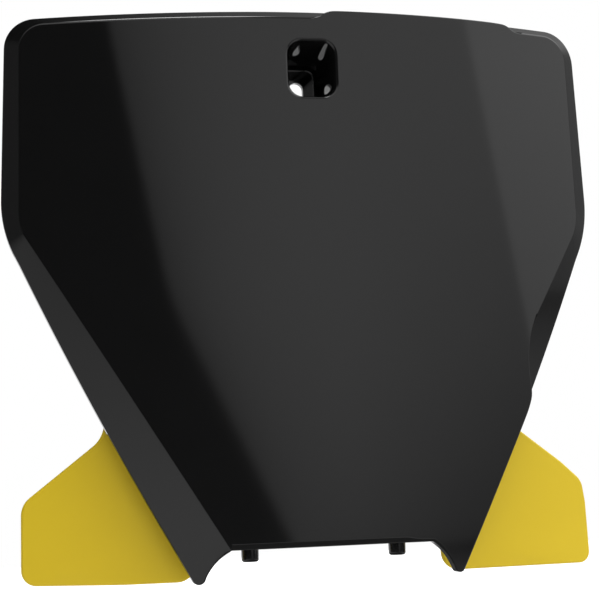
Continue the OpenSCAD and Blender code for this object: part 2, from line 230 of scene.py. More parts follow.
def inside(points, loop):
    """Which points lie inside a closed loop."""
    x, z = points[:, 0], points[:, 1]
    found = np.zeros(len(points), bool)
    a, b = loop, np.roll(loop, -1, axis=0)
    for (x0, z0), (x1, z1) in zip(a, b):
        if z0 == z1:
            continue
        crosses = (z0 > z) != (z1 > z)
        found ^= crosses & (x < (x1 - x0) * (z - z0) / (z1 - z0) + x0)
    return found


def gap_to(points, loop):
    """Distance of each point from the nearest point of a loop's segments."""
    best = np.full(len(points), 1e9)
    a, b = loop, np.roll(loop, -1, axis=0)
    for p, q in zip(a, b):
        d = q - p
        t = np.clip(((points - p) @ d) / max(d @ d, 1e-12), 0, 1)
        best = np.minimum(best, np.linalg.norm(points - p - t[:, None] * d, axis=1))
    return best


def at_depth(loop, depth):
    """Points of a loop in space, all at one depth."""
    return [(x, depth, z) for x, z in loop]


def circle(centre, radius):
    """Loop of 48 points."""
    return arc_points(centre, radius, 0, 352.5, 47)


def outward(loop):
    """Outward unit vector at each point of an anticlockwise loop."""
    before, after = np.roll(loop, 1, axis=0), np.roll(loop, -1, axis=0)
    d = after - before
    d /= np.linalg.norm(d, axis=1)[:, None]
    return np.stack([d[:, 1], -d[:, 0]], 1)


def upright(sides):
    """Vectors of an outline as vectors in space."""
    return [np.array([s[0], 0.0, s[1]]) for s in sides]


# Meshes with exact normals


class Skin:
    """Points, faces and corner normals of one moulding, in the board's own millimetres."""

    def __init__(self):
        self.points = []
        self.faces = []
        self.normals = []

    def add(self, points):
        start = len(self.points)
        self.points.extend(tuple(p) for p in points)
        return list(range(start, len(self.points)))

    def face(self, corners, normals):
        a, b, c = (np.array(self.points[i]) for i in corners[:3])
        if np.cross(b - a, c - a) @ np.mean(normals, axis=0) < 0:
            corners, normals = corners[::-1], normals[::-1]
        self.faces.append(tuple(corners))
        self.normals.extend(tuple(n) for n in normals)

    def strip(self, ring_a, ring_b, normals_a, normals_b):
        """Closed band of faces between two rings with as many points."""
        for i in range(len(ring_a)):
            j = (i + 1) % len(ring_a)
            self.face(
                [ring_a[i], ring_a[j], ring_b[j], ring_b[i]],
                [normals_a[i], normals_a[j], normals_b[j], normals_b[i]],
            )

    def strips(self, rings):
        """Bands between neighbours in a list of (ring, normals)."""
        for (a, normals_a), (b, normals_b) in zip(rings[:-1], rings[1:]):
            self.strip(a, b, normals_a, normals_b)

    def net(self, rows, known=None):
        """Faces between open rows of (point, normal); known holds first points that are there already."""
        ids = []
        for i, row in enumerate(rows):
            first = [known[i]] if known and i in known else []
            ids.append(first + self.add([p for p, _ in row[len(first):]]))
        for a, b, row_a, row_b in zip(ids[:-1], ids[1:], rows[:-1], rows[1:]):
            for k in range(len(a) - 1):
                self.face(
                    [a[k], b[k], b[k + 1], a[k + 1]],
                    [row_a[k][1], row_b[k][1], row_b[k + 1][1], row_a[k + 1][1]],
                )

    def fill(self, edge, holes, place, normal, spacing=(5.0, 6.0), clear=1.6):
        """Fills the space between a ring and its holes with an even net; place and normal take (x, z)."""
        rings = [np.array([self.points[i] for i in ring])[:, [0, 2]] for ring in [edge] + holes]

        def between(points):
            found = inside(points, rings[0])
            for hole in rings[1:]:
                found &= ~inside(points, hole)
            return found

        low, high = rings[0].min(0), rings[0].max(0)
        xs = np.arange(low[0] + spacing[0] / 2, high[0], spacing[0])
        zs = np.arange(low[1] + spacing[1] / 2, high[1], spacing[1])
        net = np.stack(np.meshgrid(xs, zs), -1).reshape(-1, 2)
        keep = between(net)
        for ring in rings:
            keep &= gap_to(net, ring) > clear
        net = net[keep]
        edges, start = [], 0
        for ring in rings:
            n = len(ring)
            edges += [(start + i, start + (i + 1) % n) for i in range(n)]
            start += n
        flat = [Vector(p) for p in np.vstack(rings + [net])]
        points, _, faces, sources, *_ = delaunay_2d_cdt(flat, edges, [], 0, 1e-7)
        known = [i for ring in [edge] + holes for i in ring] + self.add([place(x, z) for x, z in net])
        index = [known[s[0]] if s else self.add([place(*p)])[0] for p, s in zip(points, sources)]
        centres = np.array([np.mean([points[i] for i in f], axis=0) for f in faces])
        for f, wanted in zip(faces, between(centres)):
            if wanted:
                self.face([index[i] for i in f], [normal(*points[i]) for i in f])

    def fill_flat(self, edge, holes, depth, normal, spacing, clear):
        """Fills an upright flat face at one depth."""
        self.fill(edge, holes, lambda x, z: (x, depth, z), lambda x, z: normal, spacing, clear)

    def mesh(self, name, material):
        made = bpy.data.meshes.new(name)
        at = (np.array(self.points) - [0, SEAT_Y, SLOT_Z]) * MM
        made.from_pydata([tuple(p) for p in at], [], self.faces)
        made.polygons.foreach_set("use_smooth", [True] * len(made.polygons))
        made.materials.append(material)
        made.normals_split_custom_set([unit(n) for n in self.normals])
        piece = bpy.data.objects.new(name, made)
        bpy.context.scene.collection.objects.link(piece)
        return piece


def curved(radius):
    """Depth and front normal of a sheet that curves from side to side."""

    def place(x, z):
        return (x, sag(x, radius), z)

    def normal(x, z):
        return unit([x / math.sqrt(radius * radius - x * x), -1.0, 0.0])

    return place, normal


def turn_edge(skin, loop, place, normal, turn_to, radius, steps=5):
    """Rounds the edge of a sheet from its front towards turn_to at each point.

    Returns its rings, from the front to the last one, each with its normals."""
    rows = []
    for (x, z), side, towards, r in zip(loop, upright(outward(loop)), turn_to, radius):
        at = np.array(place(x, z))
        front = normal(x, z)
        side = unit(side - (side @ front) * front)
        along = np.cross(front, side)
        towards = unit(towards - (towards @ along) * along)
        bend = math.acos(np.clip(side @ towards, -1, 1))
        pull = r * math.tan(bend / 2)
        out = -unit(towards - (towards @ side) * side) if bend > 1e-4 else front
        hub = at - pull * side - r * out
        row = []
        for k in range(steps + 1):
            t = bend * k / steps
            n = out * math.cos(t) + side * math.sin(t)
            row.append((hub + r * n, n if k else front))
        rows.append(row)
    made = [(skin.add([p for p, _ in ring]), [n for _, n in ring]) for ring in zip(*rows)]
    skin.strips(made)
    return made


# The plate


def flank(foot_x, hip_x, z):
    """Half width at a height, on the straight line from the foot to the hip."""
    return foot_x + (hip_x - foot_x) * z / HIP_Z


def rim_bow(z):
    """How far the rim's edge bows out beyond a straight line, between the foot and the hips."""
    return np.where(z > 116, 0.0, 1.6 * (1 - (z / 58 - 1) ** 2))


# Half width at the foot and at the hips, of the crease and of the rim's edge
CREASE_X = (40, 118.2)
RIM_X = (60.6, 125.26)
# How much thicker the rim is than the face
RIM_EXTRA = 0.6
# Parts of each straight between the foot, the hips and the top
RULING_PARTS = [34, 10, 16, 16, 10, 34]
# Centre and radius of the right horn's tip and of the hollow beside it
RIGHT_TIP = ((53.36, -10.58), 2.11)
RIGHT_HOLLOW = ((30.3, -18.9), 22.4)
# The pocket: its mouth's middle and corner, the rounds of its lip and floor, how its
# sides and its roof close in towards the floor, and the walls behind and around it
MOUTH_Z, MOUTH_CORNER = 192.8, 5.8
MOUTH_ROUND, FLOOR_ROUND = 1.3, 1.5
DRAFT, ROOF_FALL = 0.95, 3.0
FLOOR_WALL, WELL_WALL = 2.8, 3.55
# The pegs, the screws' places, and the pads and bores round the screws
PEG_X, PEG_Y = 30.3, 14.3
LOW_SCREW = (43.5, 22.0)
HIGH_SCREW = (67.0, 64.0)
PAD_R, BORE_R = 4.2, 2.25
PAD_PROUD, PAD_RISE = 0.6, 0.8


def wing_depth(sizes, x):
    """Depth of a wing's front."""
    return sizes.wing_setback / MM + sag(x, sizes.wing_radius / MM)


def crease_and_rim():
    """The crease around the face and the rim's edge, point by point from the left foot over the top."""

    def whole(foot_x, hip_x, corner, top_z, hip_r, left_r, right_r):
        half = [(foot_x, FOOT_Z), (hip_x, HIP_Z), corner]
        points = [(-p[0], p[1]) for p in half] + [(0, top_z)] + [tuple(p) for p in half[::-1]]
        return rounded_path(points, [0, hip_r, left_r, 3000, right_r, hip_r, 0], RULING_PARTS)

    crease = whole(*CREASE_X, (116.8, 213.1), 214.2, 20, 10, 11)
    rim = whole(*RIM_X, (122.3, 216.4), 217.5, 50, 12, 14)
    rim[:, 0] += np.sign(rim[:, 0]) * rim_bow(rim[:, 1])
    return crease, rim


# The reliefs on the right: the edge of the flat stretch of the top, and of the side down to the tip
TOP_FLAT = [
    (0.5, 214.15), (2.6, 214.35), (4.4, 215.1), (6.2, 216.4), (8.2, 217.15), (11, 217.37),
    (20, 217.4), (41, 217.35), (59.3, 217.25), (76, 217.05), (84, 216.8), (87.4, 216.45),
    (89.3, 215.6), (90.8, 214.4), (92.6, 213.5), (95.4, 213.3),
]
SIDE_FLAT = [
    (95.2, 92.0), (93.6, 88.6), (92.2, 85.0), (91.0, 80.5), (90.3, 75.0), (90.1, 69.5),
    (90.35, 64.5), (90.75, 60.6), (90.7, 57.8), (89.9, 55.0), (88.3, 51.2), (86.3, 47.3),
    (81.4, 37.9), (73.8, 23.4), (63.4, 3.6), (56.4, -9.4),
]


def plate_loop(crease):
    """Closed loop of the face's edge, and which of its points join the rim (-1 for the others)."""
    tops = crease[:, 1] > 200
    left = [i for i, p in enumerate(crease) if p[0] < 0 or (tops[i] and p[0] < TOP_FLAT[0][0])]
    right = [
        i for i, p in enumerate(crease)
        if (tops[i] and p[0] > TOP_FLAT[-1][0]) or (not tops[i] and p[0] > 0 and p[1] > SIDE_FLAT[0][1])
    ]
    top = resampled(smooth_path(TOP_FLAT), 1.2)
    side = resampled(smooth_path(SIDE_FLAT), 1.6)
    tip = arc_points(*RIGHT_TIP, -28, -160, 15)
    hollow = arc_points(*RIGHT_HOLLOW, 20.3, 57, 16)
    foot = np.stack([np.linspace(41.6, -39.6, 25), np.full(25, FOOT_Z)], 1)
    parts = [
        (crease[left], left), (top, None), (crease[right], right), (side, None),
        (tip, None), (hollow, None), (foot, None),
    ]
    loop = np.vstack([p for p, _ in parts])
    source = np.concatenate([ids if ids is not None else [-1] * len(p) for p, ids in parts]).astype(int)
    return loop[::-1], source[::-1]


def edge_rounds(sizes, loop, source, ruling):
    """Where the face's edge turns to at each point of its loop, and with which radius."""
    crease_r, edge_r, foot_r = (r / MM for r in (sizes.crease_round, sizes.edge_round, sizes.foot_round))
    turn_to, rounds = [], []
    for (x, z), i in zip(loop, source):
        on_foot = min(max((40 - x) / 8, 0), 1) if abs(z - FOOT_Z) < 1e-6 else 0
        in_hollow = min(max((51 - x) / 10, 0), 1) if x > 30 and z < 1 else 0
        free_r = edge_r + max((foot_r - edge_r) * on_foot, 0.9 * in_hollow)
        turn_to.append(ruling[i] if i >= 0 else BACK)
        rounds.append(crease_r if i >= 0 else free_r)
    return turn_to, rounds


def pocket_outline(sizes):
    """Gives the loop of the pocket's wall at a depth, grown outwards; the mouth's size is that of its lip."""
    width, height, depth = (v / MM for v in (sizes.pocket_width, sizes.pocket_height, sizes.pocket_depth))

    def well(d, grow=0.0):
        s = d / depth
        out = grow - MOUTH_ROUND + 0.15
        top = MOUTH_Z + height / 2 - ROOF_FALL * s
        low = MOUTH_Z - height / 2 + DRAFT * s
        wide, high = width - 2 * DRAFT * s + 2 * out, top - low + 2 * out
        return rounded_box(wide, high, MOUTH_CORNER - s + grow, (top + low) / 2)

    return well


def build_pocket(skin, sizes):
    """Inside of the screw pocket with its slot; returns the mouth's ring and the slot's rear ring."""
    radius, depth = sizes.face_radius / MM, sizes.pocket_depth / MM
    well = pocket_outline(sizes)
    sides = outward(well(0))

    def slanted(across, forward, around=sides):
        return [unit([-s[0] * across, -forward, -s[1] * across]) for s in around]

    quarter = [(math.sin(t), math.cos(t)) for t in np.linspace(0, math.pi / 2, 6)]
    rings = []
    for sin, cos in quarter:
        d = MOUTH_ROUND * (1 - cos)
        points = [(x, sag(x, radius) + d, z) for x, z in well(d, MOUTH_ROUND * (1 - sin))]
        rings.append((skin.add(points), slanted(sin, cos + 0.1 * sin)))
    for d in (6, 12, 18, 24, depth - FLOOR_ROUND):
        rings.append((skin.add(at_depth(well(d), d)), slanted(1, 0.1)))
    for sin, cos in quarter[1:]:
        d = depth - FLOOR_ROUND * (1 - sin)
        rings.append((skin.add(at_depth(well(d, -FLOOR_ROUND * (1 - cos)), d)), slanted(cos, sin)))
    skin.strips(rings)

    width = sizes.slot_width / MM
    slot = rounded_box(width, sizes.slot_length / MM, width / 2 - 0.01, SLOT_Z, 10)
    around = outward(slot)
    # Depth behind the floor, growth and tilt of each ring through the slot
    through = (
        (0, 0.3, 0), (0.09, 0.09, 45), (0.3, 0, 90), (FLOOR_WALL - 0.3, 0, 90), (FLOOR_WALL, 0.3, 135),
    )
    slot_rings = []
    for d, grow, tilt in through:
        t = math.radians(tilt)
        points = at_depth(slot + around * grow, depth + d)
        slot_rings.append((skin.add(points), slanted(math.sin(t), math.cos(t), around)))
    skin.strips(slot_rings)
    skin.fill_flat(rings[-1][0], [slot_rings[0][0]], depth, FRONT, (3, 3), 0.8)
    return rings[0][0], slot_rings[-1][0]


def build_pocket_back(skin, sizes, slot_ring):
    """Outside of the pocket behind the face; returns the ring where it leaves the sheet."""
    sheet_y, depth = sizes.wall / MM, sizes.pocket_depth / MM
    well = pocket_outline(sizes)
    sides = outward(well(0))
    root = [(x, sag(x, sizes.face_radius / MM) + sheet_y, z) for x, z in well(0, WELL_WALL)]
    out = [unit([s[0], 0.1, s[1]]) for s in sides]
    rings = [(skin.add(root), out)]
    for d in (12, 22, depth + FLOOR_WALL - 0.6):
        rings.append((skin.add(at_depth(well(min(d, depth), WELL_WALL), d)), out))
    cap = skin.add(at_depth(well(depth, WELL_WALL - 0.6), depth + FLOOR_WALL))
    rings.append((cap, [unit([s[0], 1, s[1]]) for s in sides]))
    skin.strips(rings)
    skin.fill_flat(cap, [slot_ring], depth + FLOOR_WALL, BACK, (3, 3), 0.8)
    return rings[0][0]


def build_sheet_back(skin, sizes, loop, source, edge):
    """Wall round the face's edge and a lip behind it; returns the ring of the sheet's rear."""
    radius, wall = sizes.face_radius / MM, sizes.wall / MM
    sides = outward(loop)
    out = upright(sides)
    right_flank = (source < 0) & (loop[:, 0] > 20) & (loop[:, 1] < 100)
    deep = np.where(right_flank, wall + 2.4, np.where(source >= 0, wall + 0.2, wall + 0.3))
    rear = np.array([skin.points[i] for i in edge])
    rear[:, 1] = sag(rear[:, 0], radius) + deep
    inner = rear - 1.6 * np.array(out)
    inner[:, 1] = sag(inner[:, 0], radius) + deep
    sheet = inner.copy()
    sheet[:, 1] = sag(inner[:, 0], radius) + wall
    rear, inner, sheet = skin.add(rear), skin.add(inner), skin.add(sheet)
    backs = [BACK] * len(loop)
    skin.strip(edge, rear, out, out)
    skin.strip(rear, inner, backs, backs)
    skin.strip(inner, sheet, [-n for n in out], [-n for n in out])
    return sheet


def build_plate(sizes, material):
    """The whole black moulding as one mesh."""
    radius, wall = sizes.face_radius / MM, sizes.wall / MM
    place, normal = curved(radius)
    skin = Skin()
    crease, rim = crease_and_rim()
    rim_at = np.stack([rim[:, 0], sag(rim[:, 0], radius) + sizes.rim_setback / MM, rim[:, 1]], 1)
    crease_at = np.array([place(*p) for p in crease])
    ruling = rim_at - crease_at

    loop, source = plate_loop(crease)
    rings = turn_edge(skin, loop, place, normal, *edge_rounds(sizes, loop, source, ruling))
    face_ring, edge_ring = rings[0][0], rings[-1][0]
    mouth, slot_ring = build_pocket(skin, sizes)
    skin.fill(face_ring, [mouth], place, normal)
    sheet_ring = build_sheet_back(skin, sizes, loop, source, edge_ring)
    root = build_pocket_back(skin, sizes, slot_ring)
    skin.fill(sheet_ring, [root], lambda x, z: (x, sag(x, radius) + wall, z), lambda x, z: -normal(x, z))

    joined = {i: edge_ring[k] for k, i in enumerate(source) if i >= 0}
    build_rim(skin, sizes, crease, crease_at, rim_at, joined)
    build_left_horn(skin, sizes)
    build_back(skin, sizes)
    return skin.mesh("plate_moulding", material)


def build_rim(skin, sizes, crease, crease_at, rim_at, joined):
    """The band that runs back from the crease, all round but for the right foot."""
    _, normal = curved(sizes.face_radius / MM)
    crease_r, edge_r = sizes.crease_round / MM, sizes.edge_round / MM
    thick = [0, sizes.wall / MM + RIM_EXTRA, 0]
    ruling = rim_at - crease_at
    along = np.gradient(crease_at, axis=0)
    end = max(i for i, p in enumerate(crease) if not (p[0] > 0 and p[1] < 50))
    fronts, rears = [], []
    for i in range(end + 1):
        band = unit(np.cross(ruling[i], along[i]))
        band = -band if band[1] > 0 else band
        out = unit(ruling[i])
        front = normal(*crease[i])
        side = unit(ruling[i] - (ruling[i] @ front) * front)
        pull = crease_r * math.tan(math.acos(np.clip(side @ out, -1, 1)) / 2)
        start = np.array(skin.points[joined[i]]) if i in joined else crease_at[i] + out * pull
        turn = math.acos(np.clip(out @ BACK, -1, 1))
        away = -unit(BACK - (BACK @ out) * out)
        stop = rim_at[i] - out * edge_r * math.tan(turn / 2)
        row = [(start + (stop - start) * k / 4, band) for k in range(5)]
        for t in np.linspace(0, turn, 5)[1:]:
            m = away * math.cos(t) + out * math.sin(t)
            row.append((stop - edge_r * away + edge_r * m, m))
        fronts.append(row)
        outer = unit([out[0], 0, out[2]])
        foot = rim_at[i] + thick
        root = crease_at[i] - unit([ruling[i][0], 0, ruling[i][2]]) * 1.5 + thick
        rears.append([
            (np.array(row[-1][0]), outer), (foot - [0, 0.4, 0], outer), (foot - outer * 0.4, BACK),
            (foot - outer * 0.45, -band), (root, -band),
        ])
    skin.net(fronts, joined)
    skin.net(rears)


def build_left_horn(skin, sizes):
    """The rim's lower end on the left, cut by the hollow and closed by a round tip."""
    radius, edge_r = sizes.face_radius / MM, sizes.edge_round / MM
    thick = sizes.wall / MM + RIM_EXTRA

    def lines(z):
        return flank(*CREASE_X, z), flank(*RIM_X, z) + rim_bow(z)

    def place(x, z):
        near, far = lines(z)
        u = (abs(x) - near) / (far - near)
        back = sag(near, radius) + u * (sag(far, radius) + sizes.rim_setback / MM - sag(near, radius))
        return (x, back, z)

    def normal(x, z):
        h = 0.05
        p = np.array(place(x, z))
        n = unit(np.cross(np.array(place(x + h, z)) - p, np.array(place(x, z + h)) - p))
        return n if n[1] < 0 else -n

    near, far = lines(FOOT_Z)
    seam_x = -near - 0.3
    loop = np.vstack([
        np.linspace((-far, FOOT_Z), (seam_x, FOOT_Z), 14, endpoint=False),
        [(seam_x, FOOT_Z)],
        arc_points((-30.3, -18.9), 21, 117.5, 155, 18),
        arc_points((-52.1, -10.1), 2.6, -16, -153, 10),
        np.linspace((-54.5, -11.1), (-far, FOOT_Z), 10, endpoint=False)[1:],
    ])[::-1]
    seam = np.abs(loop[:, 1] - FOOT_Z) < 1e-6
    near_foot = np.clip(1 - (np.abs(loop[:, 0]) - 40) / 8, 0, 1) * (~seam) * (loop[:, 1] > -6)
    rounds = np.where(seam, 0.02, edge_r) + near_foot * 0.5
    rings = turn_edge(skin, loop, place, normal, [BACK] * len(loop), rounds)
    skin.fill(rings[0][0], [], place, normal, (2.5, 2.5), 0.8)

    def behind(x, z):
        return (x, place(x, z)[1] + thick, z)

    edge, out = rings[-1][0], upright(outward(loop))
    rear = skin.add([behind(skin.points[i][0], skin.points[i][2]) for i in edge])
    skin.strip(edge, rear, out, out)
    skin.fill(rear, [], behind, lambda x, z: -normal(x, z), (3, 3), 0.8)


def add_bar(skin, outline, start, end, axis="y"):
    """A straight bar between two depths (or widths), from a closed outline."""
    loop = np.array(outline, float)

    def lift(a, height, b):
        return np.array((a, height, b) if axis == "y" else (height, a, b), float)

    a, b = (skin.add([lift(p, at, q) for p, q in loop]) for at in (start, end))
    if len(loop) > 8:
        sides = [lift(s[0], 0, s[1]) for s in outward(loop)]
        skin.strip(a, b, sides, sides)
    else:
        for i in range(len(loop)):
            j = (i + 1) % len(loop)
            d = unit(loop[j] - loop[i])
            skin.face([a[i], a[j], b[j], b[i]], [lift(d[1], 0, -d[0])] * 4)
    skin.face(a, [lift(0, -1, 0)] * len(loop))
    skin.face(b, [lift(0, 1, 0)] * len(loop))


def build_back(skin, sizes):
    """Ribs, peg shelf, gussets, bosses and pegs behind the face."""
    wall = sizes.wall / MM
    low, high, reach, half = 2.0, 5.0, 20.3, 36.3
    start = wall - 0.4
    shelf = rounded_loop([(-half, low), (half, low), (half, high), (-half, high)], [0.4] * 4, 3)
    add_bar(skin, shelf, start, reach)
    gusset = [(start, 4.9), (reach - 1, 4.9), (wall + 1, 21), (start, 21)]
    rib = [(start, 3.0), (11, 3.0), (11, 178.5), (start, 180)]
    for side in (-1, 1):
        add_bar(skin, gusset, side * PEG_X - 1, side * PEG_X + 1, "x")
        add_bar(skin, rib, side * 8 - 1, side * 8 + 1, "x")
        for at in (LOW_SCREW, HIGH_SCREW):
            boss = circle((side * at[0], at[1]), PAD_R)
            front = sag(at[0], sizes.face_radius / MM) + wall / 2
            add_bar(skin, boss, front, wing_depth(sizes, at[0]) - PAD_PROUD)
        build_peg(skin, side * PEG_X)


def build_peg(skin, x):
    """One locating peg with a softly rounded lower end."""
    straight_z, round_r = -3.8, 1.2
    profile = [((3.5, z), (1, 0)) for z in (3.5, 1.0, -1.5, straight_z)]
    for t in np.linspace(0, math.pi / 2, 6)[1:]:
        across, down = math.cos(t), -math.sin(t)
        profile.append(((2.3 + round_r * across, straight_z + round_r * down), (across, down)))
    profile.append(((0.9, -5.0), (0, -1)))
    turns = [(math.cos(t), math.sin(t)) for t in np.radians(np.arange(0, 360, 7.5))]
    rings = []
    for (r, z), (across, down) in profile:
        ring = skin.add([(x + r * c, PEG_Y + r * s, z) for c, s in turns])
        rings.append((ring, [np.array([across * c, across * s, down]) for c, s in turns]))
    skin.strips(rings)
    skin.face(rings[-1][0], [np.array([0.0, 0, -1])] * len(turns))


# The wings


BLADES = {
    -1: [((51, -12), 7.5), ((80, -12), 150), ((119.25, -10.9), 6), ((118.8, 21), 9), ((87, 45.6), 12)],
    1: [
        ((51, -12.4), 7.5), ((120.65, -12.66), 4.8), ((119.9, 13), 12),
        ((118.6, 22.2), 8), ((109, 30.4), 20), ((88.5, 45.2), 9),
    ],
}
TONGUE = [((81, 71), 5), ((60, 71), 5), ((36.5, 29), 5), ((36.5, 15), 5), ((51, 8), 5)]


def wing_loop(side):
    """A wing's outline: the blade that shows on that side, then the tongue behind the plate."""
    corners = BLADES[side] + TONGUE
    loop = rounded_loop([c for c, _ in corners], [r for _, r in corners])
    return loop if side > 0 else (loop * [-1, 1])[::-1]


class Tree:
    """A geometry node tree with named inputs, and short ways to add to it."""

    def __init__(self, name, sizes):
        self.tree = bpy.data.node_groups.new(name, "GeometryNodeTree")
        face = self.tree.interface
        face.new_socket("Geometry", in_out="INPUT", socket_type="NodeSocketGeometry")
        for size in sizes:
            face.new_socket(size, in_out="INPUT", socket_type="NodeSocketFloat")
        face.new_socket("Material", in_out="INPUT", socket_type="NodeSocketMaterial")
        face.new_socket("Geometry", in_out="OUTPUT", socket_type="NodeSocketGeometry")
        self.inputs = self.node("NodeGroupInput").outputs

    def node(self, kind, values=None, operation=None):
        """Adds a node, with values or links for its sockets."""
        made = self.tree.nodes.new(kind)
        if operation:
            made.operation = operation
        for key, value in (values or {}).items():
            if isinstance(value, bpy.types.NodeSocket):
                self.tree.links.new(value, made.inputs[key])
            else:
                made.inputs[key].default_value = value
        return made

    def calc(self, operation, *values):
        return self.node("ShaderNodeMath", dict(enumerate(values)), operation).outputs[0]

    def join(self, parts):
        joined = self.node("GeometryNodeJoinGeometry")
        for part in parts:
            self.tree.links.new(part, joined.inputs[0])
        return joined.outputs[0]

    def finish(self, geometry):
        """Ends the tree in real geometry with the material that was passed in."""
        real = self.node("GeometryNodeRealizeInstances", {0: geometry}).outputs[0]
        paint = self.node("GeometryNodeSetMaterial", {"Geometry": real, "Material": self.inputs["Material"]})
        self.node("NodeGroupOutput", {0: paint.outputs[0]})
        return self.tree


def bend_tree():
    """Node tree that bends a flat sheet round an upright axis and sets it back."""
    t = Tree("Bend across the board", ("Curve radius", "Setback"))
    radius = t.inputs["Curve radius"]
    place = t.node("GeometryNodeInputPosition").outputs[0]
    x = t.node("ShaderNodeSeparateXYZ", {0: place}).outputs["X"]
    inner = t.calc("SQRT", t.calc("SUBTRACT", t.calc("MULTIPLY", radius, radius), t.calc("MULTIPLY", x, x)))
    back = t.calc("ADD", t.calc("SUBTRACT", radius, inner), t.inputs["Setback"])
    shift = t.node("ShaderNodeCombineXYZ", {"Y": back}).outputs[0]
    move = t.node("GeometryNodeSetPosition", {"Geometry": t.inputs["Geometry"], "Offset": shift})
    return t.finish(move.outputs[0])


def set_inputs(modifier, values):
    """Sets a node modifier's inputs by their sockets' identifiers."""
    for item in modifier.node_group.interface.items_tree:
        if item.item_type == "SOCKET" and item.in_out == "INPUT" and item.name in values:
            modifier[item.identifier] = values[item.name]


def settled(piece):
    """Turns a piece with node modifiers into a plain mesh."""
    bpy.context.view_layer.update()
    graph = bpy.context.evaluated_depsgraph_get()
    mesh = bpy.data.meshes.new_from_object(piece.evaluated_get(graph))
    old = piece.data
    piece.modifiers.clear()
    piece.data = mesh
    mesh.name = piece.name
    bpy.data.meshes.remove(old)
    return piece


def build_wing(name, side, sizes, tree, material):
    """One wing as a flat sheet with two bored pads, which the node tree then bends."""
    loop = wing_loop(side)
    rounds = [sizes.wing_edge / MM] * len(loop)
    skin = Skin()
    # Each side: its depth, the way it faces, and how far its pads stand out that way
    faces = ((0, FRONT, -PAD_PROUD), (sizes.wing_wall / MM, BACK, PAD_RISE))
    edges, holes = [], ([], [])
    for depth, out, _ in faces:
        edges.append(turn_edge(
            skin, loop, lambda x, z, y=depth: (x, y, z), lambda x, z, n=out: n, [-out] * len(loop), rounds, 4
        ))
    (front, front_out), (back, back_out) = edges[0][-1], edges[1][-1]
    skin.strip(front, back, front_out, back_out)
    for at in (LOW_SCREW, HIGH_SCREW):
        centre = (side * at[0], at[1])
        pad, bore = circle(centre, PAD_R), circle(centre, BORE_R)
        out = upright(outward(pad))
        mouths = []
        for found, (depth, facing, rise) in zip(holes, faces):
            caps = [facing] * len(pad)
            root, top = skin.add(at_depth(pad, depth)), skin.add(at_depth(pad, depth + rise))
            mouth = skin.add(at_depth(bore, depth + rise))
            skin.strip(root, top, out, out)
            skin.strip(top, mouth, caps, caps)
            found.append(root)
            mouths.append(mouth)
        into = [-n for n in out]
        skin.strip(*mouths, into, into)
    for rings, found, (depth, facing, _) in zip(edges, holes, faces):
        skin.fill_flat(rings[0][0], found, depth, facing, (4, 4), 1.0)
    skin.points = [(x, y + SEAT_Y, z) for x, y, z in skin.points]
    piece = skin.mesh(name, material)
    bend = piece.modifiers.new("bend", "NODES")
    bend.node_group = tree
    set_inputs(bend, {
        "Curve radius": sizes.wing_radius,
        "Setback": sizes.wing_setback - SEAT_Y * MM,
        "Material": material,
    })
    return settled(piece)


# Materials


class Sock:
    """A shader socket that takes part in plain arithmetic."""

    def __init__(self, shader, socket):
        self.shader = shader
        self.socket = socket

    def _math(self, operation, a, b):
        return self.shader.node("ShaderNodeMath", {"operation": operation}, {0: a, 1: b}).out()

    def __add__(self, other):
        return self._math("ADD", self, other)

    def __radd__(self, other):
        return self._math("ADD", other, self)

    def __sub__(self, other):
        return self._math("SUBTRACT", self, other)

    def __rsub__(self, other):
        return self._math("SUBTRACT", other, self)

    def __mul__(self, other):
        return self._math("MULTIPLY", self, other)

    def __rmul__(self, other):
        return self._math("MULTIPLY", other, self)

    def __truediv__(self, other):
        return self._math("DIVIDE", self, other)

    def __rtruediv__(self, other):
        return self._math("DIVIDE", other, self)

    def __neg__(self):
        return self._math("MULTIPLY", self, -1.0)


class Made:
    """A node that was just made, with its outputs by name or number."""

    def __init__(self, shader, node):
        self.shader = shader
        self.node = node

    def out(self, key=0):
        return Sock(self.shader, self.node.outputs[key])


class Shader:
    """Builds a node tree from values and links."""

    def __init__(self, tree):
        self.tree = tree
        self.tree.nodes.clear()

    def node(self, kind, settings=None, values=None):
        """Adds a node with its settings, then the values or links of its sockets."""
        made = self.tree.nodes.new(kind)
        for key, value in (settings or {}).items():
            setattr(made, key, value)
        for key, value in (values or {}).items():
            if isinstance(value, Sock):
                self.tree.links.new(value.socket, made.inputs[key])
            else:
                made.inputs[key].default_value = value
        return Made(self, made)

    def fn(self, operation, *values):
        return self.node("ShaderNodeMath", {"operation": operation}, dict(enumerate(values))).out()

    def vector(self, operation, *values):
        return self.node("ShaderNodeVectorMath", {"operation": operation}, dict(enumerate(values)))

    def smooth(self, value, low, high):
        """0 below low, 1 above high, with a soft step between."""
        values = {"Value": value, "From Min": low, "From Max": high}
        return self.node("ShaderNodeMapRange", {"interpolation_type": "SMOOTHSTEP"}, values).out()

    def mix(self, factor, a, b):
        return self.node("ShaderNodeMix", {"data_type": "RGBA"}, {0: factor, 6: a, 7: b}).out(2)

    def noise(self, coords, scale, detail=3.0, roughness=0.55):
        values = {"Vector": coords, "Scale": scale, "Detail": detail, "Roughness": roughness}
        return self.node("ShaderNodeTexNoise", {}, values).out()

    def bump(self, height, strength, distance):
        values = {"Strength": strength, "Distance": distance, "Height": height}
        return self.node("ShaderNodeBump", {}, values).out("Normal")

    def surface(self, values):
        """Ends a material in a Principled BSDF with these values or links."""
        body = self.node("ShaderNodeBsdfPrincipled", {}, values)
        self.node("ShaderNodeOutputMaterial", {}, {"Surface": body.out()})


def new_material(name):
    material = bpy.data.materials.new(name)
    material.use_nodes = True
    return material, Shader(material.node_tree)


